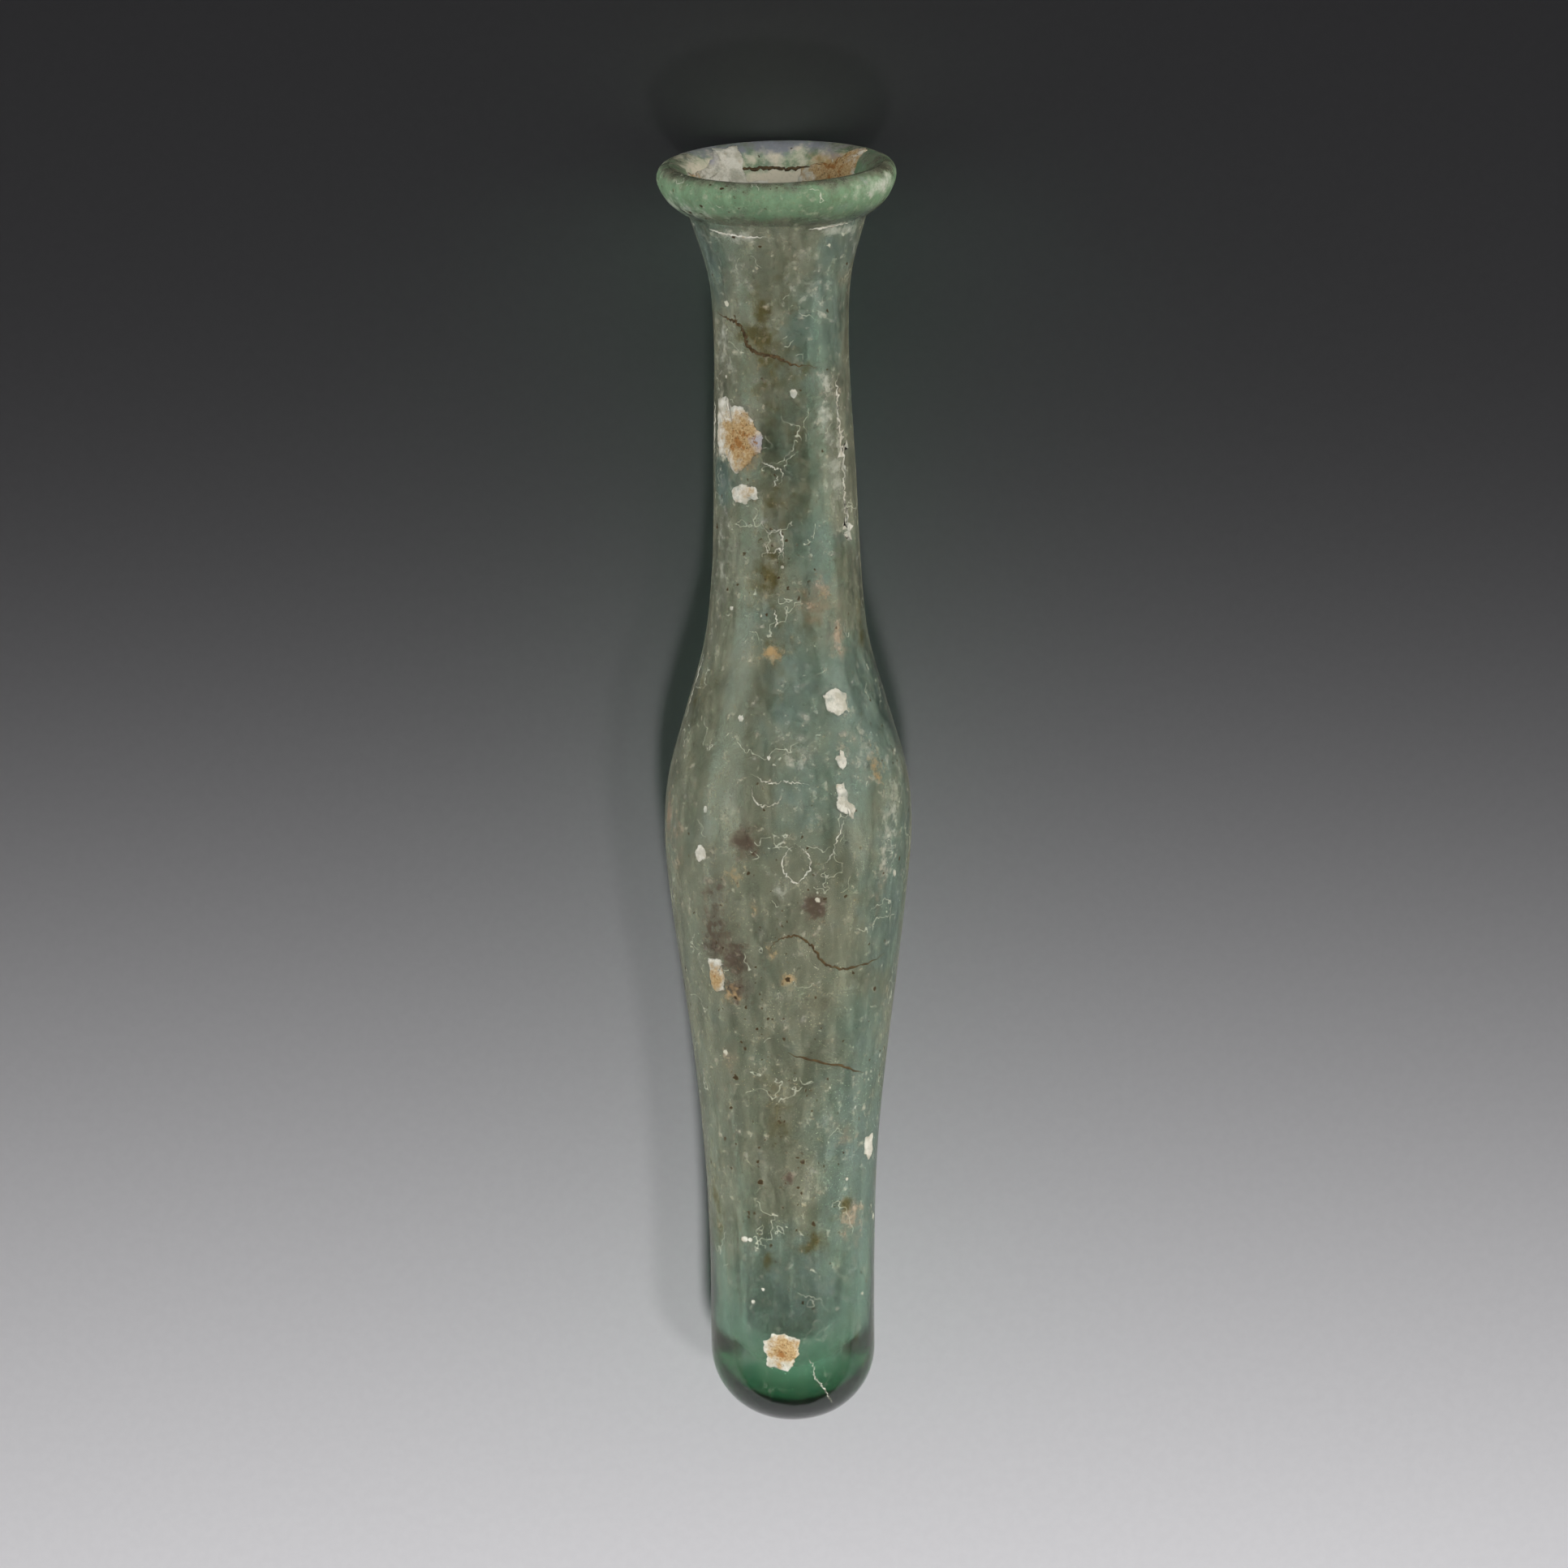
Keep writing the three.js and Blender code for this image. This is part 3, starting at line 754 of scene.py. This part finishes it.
peelsAndHighlights = [
    ([(108.4, -19), (107.9, -14), (107.2, -9), (106.9, -5), (106.0, -4)], peelAndHighlightLook),
    ([(106.9, -5), (105.6, -8)], peelAndHighlightLook),
    ([(101.5, -19), (100.4, -14), (100.9, -8), (99.2, -5), (97.3, -2)], peelAndHighlightLook),
    ([(99.5, -17), (98.4, -12), (98.9, -7), (97.6, -6)], peelAndHighlightLook),
    ([(92.3, -9), (91.2, -8), (90.1, -9)], peelAndHighlightLook),
    ([(74.6, -18), (73.6, -8), (73.9, 0), (73.6, 10)], peelAndHighlightLook),
    ([(73.5, -18), (72.0, -16), (71.2, -11), (71.7, -5), (72.6, -3)], peelAndHighlightLook),
    ([(67.3, 3), (66.4, 9), (64.9, 10), (63.6, 5), (64.1, 0), (66.0, -1), (67.3, 3)], peelAndHighlightLook),
    ([(69.6, 27), (67.2, 22), (64.8, 17)], peelAndHighlightLook),
    ([(9.2, 9), (7.8, 14), (6.6, 15), (5.9, 21), (4.6, 27), (3.1, 35)], peelAndHighlightLook),
    ([(117, 52), (114, 53), (111, 54)], {**peelAndHighlightLook, "width": 0.3}),
    ([(111.5, 53), (109.5, 55), (107, 55)], {**peelAndHighlightLook, "width": 0.8}),
    ([(107.5, 54), (104, 56), (101.5, 56)], {**peelAndHighlightLook, "width": 0.3}),
    ([(102.5, 56), (100.8, 57), (98.8, 57)], {**peelAndHighlightLook, "width": 0.9}),
    # painted highlight: a pale line down the side of the neck at turn -80
    ([(114, -80), (111, -81), (108.5, -80)], {**peelAndHighlightLook, "width": 0.5}),
    ([(86, -77), (83.8, -79), (81.5, -80), (79.5, -80)], {**peelAndHighlightLook, "width": 0.3}),
    # painted highlights: two pale lines along the crease under the collar
    ([(133.7, -52), (133.4, -38), (133.2, -22), (133.2, -8)], {**creaseHighlightLook, "width": 0.28}),
    ([(133.9, 20), (134.0, 32), (134.1, 44), (134.2, 58)], creaseHighlightLook),
]


def scatterTree():  # small broken chips strewn over a carrier, thickest where it is painted
    tree = bpy.data.node_groups.new("strewnChips", "GeometryNodeTree")
    sockets = tree.interface
    sockets.new_socket("Geometry", in_out="INPUT", socket_type="NodeSocketGeometry")
    for name, kind, value in (("Density", "Float", 1e5), ("Smallest", "Float", 5e-5),
                              ("Largest", "Float", 2e-4), ("Flatness", "Float", 0.3), ("Seed", "Int", 1)):
        sockets.new_socket(name, in_out="INPUT", socket_type="NodeSocket" + kind).default_value = value
    sockets.new_socket("Material", in_out="INPUT", socket_type="NodeSocketMaterial")
    sockets.new_socket("Geometry", in_out="OUTPUT", socket_type="NodeSocketGeometry")
    given = node(tree, "NodeGroupInput", (-1200, 0)).outputs
    where = node(tree, "GeometryNodeInputNamedAttribute", (-1200, -300), {"Name": "thickest"},
                 data_type="FLOAT")
    amount = reckon(tree, "MULTIPLY", where.outputs[0], given["Density"], place=(-950, -200))
    spots = node(tree, "GeometryNodeDistributePointsOnFaces", (-700, 0),
                 {"Mesh": given[0], "Density": amount, "Seed": given["Seed"]}).outputs
    chip = node(tree, "GeometryNodeMeshCone", (-700, -500),
                {"Vertices": 7, "Radius Top": 0.6, "Radius Bottom": 1.0, "Depth": 1.0})
    chance = node(tree, "FunctionNodeRandomValue", (-950, -800), {"Seed": given["Seed"]}, data_type="FLOAT")
    mostlySmall = reckon(tree, "POWER", chance.outputs[1], 3.5, place=(-700, -800))
    size = node(tree, "ShaderNodeMapRange", (-500, -800),
                {"Value": mostlySmall, "To Min": given["Smallest"], "To Max": given["Largest"]})
    uneven = node(tree, "FunctionNodeRandomValue", (-950, -1100), {0: (0.6, 0.6, 1), 1: (1.4, 1.4, 1)},
                  data_type="FLOAT_VECTOR")
    flat = node(tree, "ShaderNodeCombineXYZ", (-700, -1300), {"X": 1, "Y": 1, "Z": given["Flatness"]})
    shape = reckon(tree, "MULTIPLY", uneven.outputs[0], flat.outputs[0], place=(-500, -1100),
                   kind=vectorMath)
    full = node(tree, vectorMath, (-300, -900), {0: shape, "Scale": size.outputs[0]}, operation="SCALE")
    placed = node(tree, "GeometryNodeInstanceOnPoints", (-100, 0),
                  {"Points": spots["Points"], "Instance": chip.outputs["Mesh"],
                   "Rotation": spots["Rotation"], "Scale": full.outputs[0]})
    spin = node(tree, "FunctionNodeRandomValue", (-100, -400), {0: (0, 0, 0), 1: (0, 0, roundTurn)},
                data_type="FLOAT_VECTOR")
    turned = node(tree, "GeometryNodeRotateInstances", (150, 0),
                  {"Instances": placed.outputs[0], "Rotation": spin.outputs[0]})
    real = node(tree, "GeometryNodeRealizeInstances", (400, 0), {0: turned.outputs[0]})
    coat = node(tree, "GeometryNodeSetMaterial", (700, 0),
                {"Geometry": real.outputs[0], "Material": given["Material"]})
    node(tree, "NodeGroupOutput", (1000, 0), {0: coat.outputs[0]})
    return tree


chips = scatterTree()
carrier = {"low": 12, "high": 133, "rows": 180, "columns": 72}
soilSpecks = {"Density": 3.2e5, "Smallest": 4e-5, "Largest": 3e-4, "Flatness": 0.12, "Seed": 5}
crustCrumbs = {"Density": 5e4, "Smallest": 5e-5, "Largest": 4.5e-4, "Flatness": 0.12, "Seed": 8}


def strewn(name, material, thickest, values, lift=0.0, bore=False):  # thickest(height, turn) is 0 to 1
    rows, columns = carrier["rows"], carrier["columns"]
    heights = np.linspace(carrier["low"], carrier["high"], rows)
    h, t = np.meshgrid(heights, np.arange(columns) * 2 * np.pi / columns, indexing="ij")
    ground = makeMesh(name + "_carrier", wallPoints(h, t, lift, bore), ringFaces(rows, columns), material)
    paint(ground, "thickest", np.clip(thickest(h, np.degrees((t + np.pi) % (2 * np.pi) - np.pi)), 0, 1))
    modifier = ground.modifiers.new("chips", "NODES")
    modifier.node_group = chips
    sockets = {item.name: item.identifier for item in chips.interface.items_tree if item.in_out == "INPUT"}
    for key, value in {**values, "Material": material}.items():
        modifier[sockets[key]] = value
    graph = bpy.context.evaluated_depsgraph_get()
    mesh = bpy.data.meshes.new_from_object(ground.evaluated_get(graph), depsgraph=graph)
    mesh.name = name
    bpy.data.objects.remove(ground)
    piece = bpy.data.objects.new(name, mesh)
    bpy.context.scene.collection.objects.link(piece)
    print(name, len(mesh.polygons), "faces")
    return piece


def bell(value, middle, reach):
    return np.exp(-((value - middle) / reach) ** 2)


def speckPlaces(h, t):
    clump = 0.6 + 0.4 * np.sin(h / 2.3 + 2 * np.sin(t / 17)) * np.sin(t / 9 + h / 5)
    front = 1.0 * bell(h, 32, 9) * bell(t, -4, 20) + 0.35 * bell(h, 45, 14) * bell(t, -15, 40)
    top = 0.6 * bell(h, 96, 6) * bell(t, -14, 12) + 0.35 * bell(h, 88, 3) * bell(t, -10, 12)
    back = 0.5 * bell(h, 40, 22) * bell(np.abs(t), 180, 60)
    return (0.05 + front + top + back) * clump


def crumbPlaces(h, t):
    back = 0.8 * bell(np.abs(t), 150, 45) * bell(h, 75, 45)
    return 0.05 + 0.15 * bell(h, 72, 12) * bell(t, -30, 30) + back


vessel = blownFlask()
boreLine = np.vstack([outside[crest:-1], inside])[::-1]  # up the bore and over the lip to the crest
skin = filmPiece("inner_film", boreLine, innerLook, -1, innerReach)
bloom = filmPiece("outer_film", outside[:crest + 1], outerLook, 1, outerReach)
specks = strewn("soil_specks", soilLook, speckPlaces, soilSpecks, 0.02, True)
crumbs = strewn("crust_crumbs", crustAndHighlightLook, crumbPlaces, crustCrumbs)
print("flask and film made", len(vessel.data.polygons), len(skin.data.polygons))
crust = crustPiece("enamel_flakes", flakes, 11)
mouth = crustPiece("mouth_crust", mouthCrust, 12)
hairlines = linePiece("hairline_cracks_and_dark_line", cracksAndDarkLine, soilLook)
# peeled edges, together with the painted highlight lines on the neck and in the crease
edges = linePiece("peeled_edges_and_highlights", peelsAndHighlights, crustAndHighlightLook)
print("crust, cracks and peeled edges made")

# camera, floor and light
camera = {"distance": 1.4, "overRim": 11.5, "roll": 0.844, "aim": (-0.42, 0.95, 13.0), "lens": 293.6}
floorLook = {"half": 3.0, "light": (0.80, 0.79, 0.81), "dark": (0.78, 0.77, 0.79)}
studioLamps = {  # metres and watts; they light the flask alone
    "keyRight": {"place": (1.0, 0.2, 0.35), "size": 1.0, "power": 15.0, "tint": (1.0, 0.98, 0.95)},
    "fillLeft": {"place": (-1.0, 0.1, 0.3), "size": 1.0, "power": 14.0, "tint": (0.98, 0.99, 1.0)},
    "overhead": {"place": (0.1, 0.3, 1.0), "size": 0.8, "power": 6.0},
    "shineRight": {"place": (0.45, 0.9, 1.1), "aim": (0, 0.06, 0.01), "size": 0.7, "power": 0.4,
                   "shine": True},
}
floorPools = {  # soft round pools of light, wide across the floor
    "poolNear": {"middle": -0.236, "reach": 0.254, "power": 20.0, "off": (0.04, 0.8)},
    "poolNearSide": {"middle": -0.236, "reach": 0.254, "power": 5.5},
    "poolFar": {"middle": -0.35, "reach": 0.46, "power": 3.8, "off": (0.04, 0.8)},
}


def makeCamera():
    lean, roll = math.radians(camera["overRim"]), math.radians(camera["roll"])
    back = Vector((0, math.sin(lean), math.cos(lean)))
    up = Vector((0, math.cos(lean), -math.sin(lean)))
    side = Vector((1, 0, 0))
    sideways = side * math.cos(roll) - up * math.sin(roll)
    upward = side * math.sin(roll) + up * math.cos(roll)
    eye = bpy.data.objects.new("camera", bpy.data.cameras.new("camera"))
    eye.data.sensor_width, eye.data.lens = 36, camera["lens"]
    eye.data.clip_start, eye.data.clip_end = 0.1, 30
    turned = Matrix((sideways, upward, back)).transposed().to_4x4()
    place = Vector(camera["aim"]) * mm + back * camera["distance"]
    eye.matrix_world = Matrix.Translation(place) @ turned
    bpy.context.scene.collection.objects.link(eye)
    bpy.context.scene.camera = eye


def paleFloor():
    half = floorLook["half"]
    s = Shade("paleFloor")
    grain = s.mask(scale=900.0, detail=3.0, low=0.3, high=0.7)
    s.set(Base_Color=s.blend(grain, floorLook["light"], floorLook["dark"]), Roughness=0.9,
          Specular_IOR_Level=0.1)
    corners = [(-half, -half, 0), (half, -half, 0), (half, half, 0), (-half, half, 0)]
    floor = makeMesh("floor", corners, [(0, 1, 2, 3)], s.material, smooth=False)


def aimed(lamp, place, aim, wide=1.0):  # its own x axis stays along the room's x
    back = (Vector(place) - Vector(aim)).normalized()
    side = (Vector((1, 0, 0)) - back * back.x).normalized()
    turned = Matrix((side * wide, back.cross(side), back)).transposed().to_4x4()
    lamp.matrix_world = Matrix.Translation(Vector(place)) @ turned
    bpy.context.scene.collection.objects.link(lamp)
    return lamp


def softbox(name, receivers, place, size, power, tint=(1, 1, 1), aim=(0, 0, 0.01), shine=False):
    data = bpy.data.lights.new(name, "AREA")
    data.shape, data.size = "SQUARE", size
    data.energy, data.color = power, tint
    lamp = aimed(bpy.data.objects.new(name, data), place, aim)
    lamp.visible_camera = False
    lamp.visible_glossy, lamp.visible_diffuse, lamp.visible_transmission = shine, not shine, not shine
    lamp.light_linking.receiver_collection = receivers


def floorPool(name, middle, reach, power, off=(0.3, 0.75), soft=0.05, wide=3.0):
    data = bpy.data.lights.new(name, "SPOT")
    data.spot_size, data.spot_blend = 2 * math.atan(reach / math.hypot(*off)), 1.0
    data.energy, data.shadow_soft_size = power, soft
    lamp = aimed(bpy.data.objects.new(name, data), (off[0], middle, off[1]), (0, middle, 0), wide)
    lamp.visible_camera = lamp.visible_glossy = lamp.visible_transmission = False


makeCamera()
paleFloor()
lit = bpy.data.collections.new("litByStudio")
madePieces = (vessel, skin, bloom, specks, crumbs, crust, mouth, hairlines, edges)
for piece in madePieces:
    lit.objects.link(piece)
for piece in (bloom, crumbs, crust, mouth, edges):
    piece.visible_diffuse = False  # keeps their green cast off the floor
for name, look in studioLamps.items():
    softbox(name, lit, **look)
for name, look in floorPools.items():
    floorPool(name, **look)

world = bpy.data.worlds.new("studio")
bpy.context.scene.world = world
world.use_nodes = True
background = world.node_tree.nodes["Background"].inputs
background["Color"].default_value = (0.026, 0.026, 0.027, 1)
background["Strength"].default_value = 1.0

scene = bpy.context.scene
scene.view_settings.view_transform = "Standard"
scene.cycles.caustics_reflective = False
scene.cycles.max_bounces = 24
scene.cycles.transmission_bounces = 20
scene.cycles.transparent_max_bounces = 24

for piece in madePieces:
    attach(piece, "root")
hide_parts("unguentarium")
